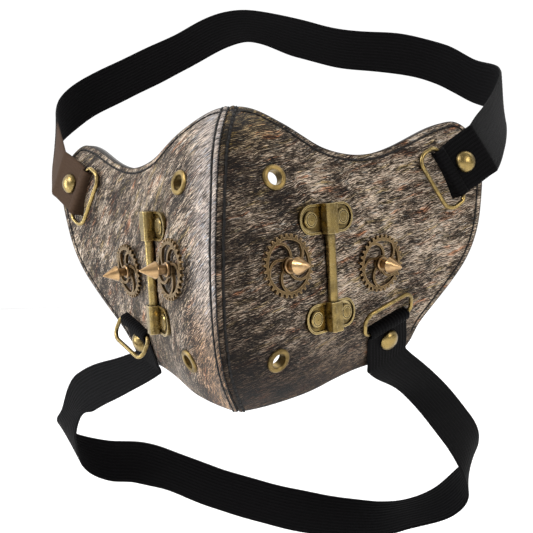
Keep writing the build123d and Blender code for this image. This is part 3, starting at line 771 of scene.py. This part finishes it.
def strapBand(name, corner, run, brownEnd):
    centres, edges = strapCentre(corner, run)
    faceOut = unit(np.cross(np.gradient(centres, axis=0), edges))
    reach = lengths(centres)
    length = reach[-1]
    fromFold = np.minimum(reach, length - reach) - strap["foldEnd"]
    inFold = np.clip(1 - fromFold / strap["foldFade"], 0, 1)
    ripple = sum(np.sin(reach / pitch + shift) for pitch, shift in ribbing["waves"])
    narrowing = (strap["width"] - strap["foldWidth"]) * inFold
    halfWidth = (strap["width"] - narrowing) / 2 - ribbing["trim"]
    halfWidth = halfWidth + ribbing["ripple"] * ripple * (1 - inFold)
    across = np.linspace(-1, 1, ribbing["columns"])
    ribs = ribbing["ribHeight"] * np.abs(np.cos(across * math.pi * ribbing["ribs"]))
    halfThick = strap["thick"] / 2 - ribbing["skin"] + ribs
    halfThick = halfThick * np.clip((1 - np.abs(across)) * 14, 0.35, 1)
    wave = np.sin(across * 2.1 + reach[:, None] / 22)
    sag = ribbing["sag"] * (1 - inFold)[:, None] * wave
    middle = centres[:, None] + edges[:, None] * (across * halfWidth[:, None])[..., None]
    upper = middle + faceOut[:, None] * (sag + halfThick)[..., None]
    lower = middle + faceOut[:, None] * (sag - halfThick)[..., None]
    ring = np.concatenate((upper, lower[:, ::-1]), axis=1)
    rows, cols = ring.shape[:2]
    index = np.arange(rows * cols).reshape(rows, cols)
    following = np.roll(index, -1, axis=1)
    quads = np.stack((index[:-1], index[1:], following[1:], following[:-1]), -1).reshape(-1, 4)
    faces = [*quads.tolist(), index[0].tolist(), index[-1][::-1].tolist()]
    made = meshObject(name, ring.reshape(-1, 3) * mm, faces, ribbedElastic)
    fabric = bmesh.new()
    fabric.from_mesh(made.data)
    bmesh.ops.recalc_face_normals(fabric, faces=fabric.faces)
    fabric.to_mesh(made.data)
    fabric.free()
    aside = np.concatenate((across, across[::-1])) * strap["width"] / 2
    weave = np.stack(np.broadcast_arrays(reach[:, None], aside, 0.0), -1)
    store(made, "weave", weave, "FLOAT_VECTOR", "vector")
    brown = (strap["brownLength"] - (length - reach)) / strap["brownFade"]
    store(made, "brownEnd", np.repeat(np.clip(brown, 0, 1) * brownEnd, cols))
    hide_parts(f"{corner}_strap")
    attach(made, "mask")
    print(name, "length", round(length))


strapBand("upperElastic", "upper", upperRun, 1.0)
strapBand("lowerElastic", "lower", lowerRun, 0.0)


# Linings and metal fittings keep their CAD shapes; the first word found gives the material
dressing = {"lining": liningCloth, "eyelet": eyeletBrass, "screw": screwSteel,
            "gear": gearBrass, "spike": spikeBrass, "": antiqueBrass}
for name, node in nodes.items():
    if not name.startswith("outer_panel") and not name.endswith("_strap"):
        word = next(word for word in dressing if word in name)
        node.data.materials.clear()
        node.data.materials.append(dressing[word])
print("fittings dressed")


# Stitches: one Geometry Nodes tree lays a thread stitch along each row
threads = {"seamThread": {"pitch": 2.9, "length": 3.3, "thickness": 1.2, "seed": 3},
           "edgeThread": {"pitch": 2.9, "length": 2.9, "thickness": 0.8, "seed": 5},
           "joinThread": {"pitch": 1.8, "length": 1.8, "thickness": 0.75, "seed": 9}}


def stitchTree():
    tree = bpy.data.node_groups.new("stitchRow", "GeometryNodeTree")
    for label, kind in (("Row", "Geometry"), ("Pitch", "Float"), ("Length", "Float"),
                        ("Thickness", "Float"), ("Seed", "Int"), ("Thread", "Material")):
        tree.interface.new_socket(label, in_out="INPUT", socket_type=f"NodeSocket{kind}")
    tree.interface.new_socket("Stitches", in_out="OUTPUT", socket_type="NodeSocketGeometry")
    add, link = tree.nodes.new, tree.links.new
    given, result = add("NodeGroupInput"), add("NodeGroupOutput")
    curve = add("GeometryNodeMeshToCurve")
    even = add("GeometryNodeResampleCurve")
    even.mode = "LENGTH"
    spots = add("GeometryNodeCurveToPoints")
    spots.mode = "EVALUATED"
    bead = add("GeometryNodeMeshUVSphere")
    bead.inputs["Segments"].default_value, bead.inputs["Rings"].default_value = 8, 6
    bead.inputs["Radius"].default_value = 0.5
    size = add("ShaderNodeCombineXYZ")
    place = add("GeometryNodeInstanceOnPoints")
    jitter = add("FunctionNodeRandomValue")
    jitter.data_type = "FLOAT_VECTOR"
    turn = add("FunctionNodeAlignEulerToVector")
    turn.axis = "Z"
    twist = add("GeometryNodeRotateInstances")
    real = add("GeometryNodeRealizeInstances")
    smooth = add("GeometryNodeSetShadeSmooth")
    paint = add("GeometryNodeSetMaterial")
    link(given.outputs["Row"], curve.inputs["Mesh"])
    link(curve.outputs["Curve"], even.inputs["Curve"])
    link(given.outputs["Pitch"], even.inputs["Length"])
    link(even.outputs["Curve"], spots.inputs["Curve"])
    link(spots.outputs["Points"], place.inputs["Points"])
    link(bead.outputs["Mesh"], place.inputs["Instance"])
    link(spots.outputs["Tangent"], turn.inputs["Vector"])
    link(turn.outputs["Rotation"], place.inputs["Rotation"])
    link(given.outputs["Thickness"], size.inputs["X"])
    link(given.outputs["Thickness"], size.inputs["Y"])
    link(given.outputs["Length"], size.inputs["Z"])
    link(size.outputs["Vector"], place.inputs["Scale"])
    low, high = [s for s in jitter.inputs if s.type == "VECTOR"][:2]
    low.default_value, high.default_value = (-0.10, -0.10, 0), (0.10, 0.10, 0)
    link(given.outputs["Seed"], jitter.inputs["Seed"])
    link(place.outputs["Instances"], twist.inputs["Instances"])
    link(jitter.outputs[0], twist.inputs["Rotation"])
    link(twist.outputs["Instances"], real.inputs["Geometry"])
    link(real.outputs["Geometry"], smooth.inputs["Geometry"])
    link(smooth.outputs["Geometry"], paint.inputs["Geometry"])
    link(given.outputs["Thread"], paint.inputs["Material"])
    link(paint.outputs["Geometry"], result.inputs["Stitches"])
    return tree


stitchRow = stitchTree()


def stitches(name, lines):
    points, edges = [], []
    for line in lines:
        start = len(points)
        points += [tuple(p * mm) for p in line]
        edges += [(start + k, start + k + 1) for k in range(len(line) - 1)]
    mesh = bpy.data.meshes.new(name)
    mesh.from_pydata(points, edges, [])
    made = bpy.data.objects.new(name, mesh)
    bpy.context.scene.collection.objects.link(made)
    needle = made.modifiers.new("sewing", "NODES")
    needle.node_group = stitchRow
    thread = threads[name]
    values = {"Pitch": thread["pitch"] * mm, "Length": thread["length"] * mm,
              "Thickness": thread["thickness"] * mm, "Seed": thread["seed"],
              "Thread": blackThread}
    for item in stitchRow.interface.items_tree:
        if item.in_out == "INPUT" and item.name in values:
            needle[item.identifier] = values[item.name]
    baked(made)
    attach(made, "mask")


def rowOnPanel(flat, flip, lift):
    along, up = flat.T
    across = acrossAt(along, up)
    out = outwardAt(across, up) * (panelDip(flat, across) + lift)[:, None]
    return (leatherAt(across, up) + out) * (flip, 1, 1)


def rowInside(gap):
    # the edge line moved inwards, where it is sewn
    ahead = unit(np.gradient(edgeFlat, axis=0))
    inward = np.stack((ahead[:, 1], -ahead[:, 0]), -1)
    row = edgeFlat + inward * gap
    row = row[gapTo(row, edgeFlat) > gap - 0.15]
    clearOfSeam = row[:, 0] - seamAlong(row[:, 1]) > sewing["seamRow"] + 0.1
    return row[(row[:, 1] > sewing["threadAbove"]) & clearOfSeam]


def seamRow(flip):
    up = np.arange(sewing["bottom"] + 0.8, sewing["top"] - 0.8, 0.5)
    wobble = 0.12 * np.sin(up / 2.7 + flip) + 0.08 * np.sin(up / 1.1)
    along = seamAlong(up) + sewing["seamRow"] + wobble
    return rowOnPanel(np.stack((along, up), -1), flip, 0.12)


def joinRow():
    up = np.arange(sewing["bottom"] + 1, sewing["top"] - 1, 0.5)
    return np.stack((0 * up, lineAt(noseLine, up) - shell["ridgeForward"] + 0.45, up), -1)


stitches("seamThread", [seamRow(flip) for flip in sides.values()])
stitches("edgeThread", [rowOnPanel(rowInside(sewing["edgeRow"]), flip, 0.15)
                        for flip in sides.values()])
stitches("joinThread", [joinRow()])
print("stitches made")


# Studio: a white floor, a pale sky brighter behind the mask, four soft lights
studio = {"floorHeight": -0.26, "floorSide": 6, "floorBack": 9, "skyToward": (-0.5, 0.87, 0),
          "skyRange": {"From Min": -0.75, "From Max": 0.5, "To Min": 0.40, "To Max": 1.05}}
lights = {
    "keyLight": {"at": (-0.50, -0.60, 0.55), "aim": (0, -0.05, 0.0), "size": (0.35, 0.35),
                 "power": 7.0, "tint": (1.0, 0.97, 0.93)},
    "sideLight": {"at": (-0.80, -0.20, 0.10), "aim": (0, -0.08, 0.0), "size": (0.25, 0.6),
                  "power": 3.5, "tint": (0.88, 0.94, 1.0)},
    "fillLight": {"at": (0.7, -0.5, 0.3), "aim": (0, -0.05, 0.0), "size": (0.4, 0.4),
                  "power": 2.5, "tint": (1.0, 0.96, 0.90)},
    "floorLight": {"at": (0.0, 4.5, 3.2), "aim": (0, 4.5, -0.26), "size": (9.0, 8.0),
                   "power": 300.0, "tint": (1.0, 1.0, 1.0)}}


def floorPaint():
    paint = Paint("paleFloor")
    speck = paint.noise(paint.place(), 0.02, 3)
    return paint.finish(paint.mix(speck, (0.95, 0.95, 0.95), (0.97, 0.97, 0.97)), 0.9)


def paleSky():
    world = bpy.data.worlds.new("paleStudio")
    world.use_nodes = True
    add, link = world.node_tree.nodes.new, world.node_tree.links.new
    background = world.node_tree.nodes["Background"]
    background.inputs["Color"].default_value = (1, 1, 1, 1)
    toward = add("ShaderNodeTexCoord")
    facing = add("ShaderNodeVectorMath")
    facing.operation = "DOT_PRODUCT"
    facing.inputs[1].default_value = studio["skyToward"]
    strength = add("ShaderNodeMapRange")
    strength.interpolation_type = "SMOOTHSTEP"
    for socket, value in studio["skyRange"].items():
        strength.inputs[socket].default_value = value
    link(toward.outputs["Generated"], facing.inputs[0])
    link(facing.outputs["Value"], strength.inputs["Value"])
    link(strength.outputs["Result"], background.inputs["Strength"])
    return world


low, side, back = studio["floorHeight"], studio["floorSide"], studio["floorBack"]
floorMesh = bpy.data.meshes.new("floor")
floorMesh.from_pydata([(-side, -side, low), (side, -side, low), (side, back, low),
                       (-side, back, low)], [], [(0, 1, 2, 3)])
floorMesh.materials.append(floorPaint())
floor = bpy.data.objects.new("floor", floorMesh)
bpy.context.scene.collection.objects.link(floor)
bpy.context.scene.world = paleSky()
bpy.context.scene.view_settings.view_transform = "Standard"
for name, light in lights.items():
    data = bpy.data.lights.new(name, "AREA")
    data.shape, data.size, data.size_y = "RECTANGLE", *light["size"]
    data.energy, data.color = light["power"], light["tint"]
    made = bpy.data.objects.new(name, data)
    bpy.context.scene.collection.objects.link(made)
    turn = (Vector(light["aim"]) - Vector(light["at"])).to_track_quat("-Z", "Y")
    made.matrix_world = Matrix.Translation(light["at"]) @ turn.to_matrix().to_4x4()
print("studio made")
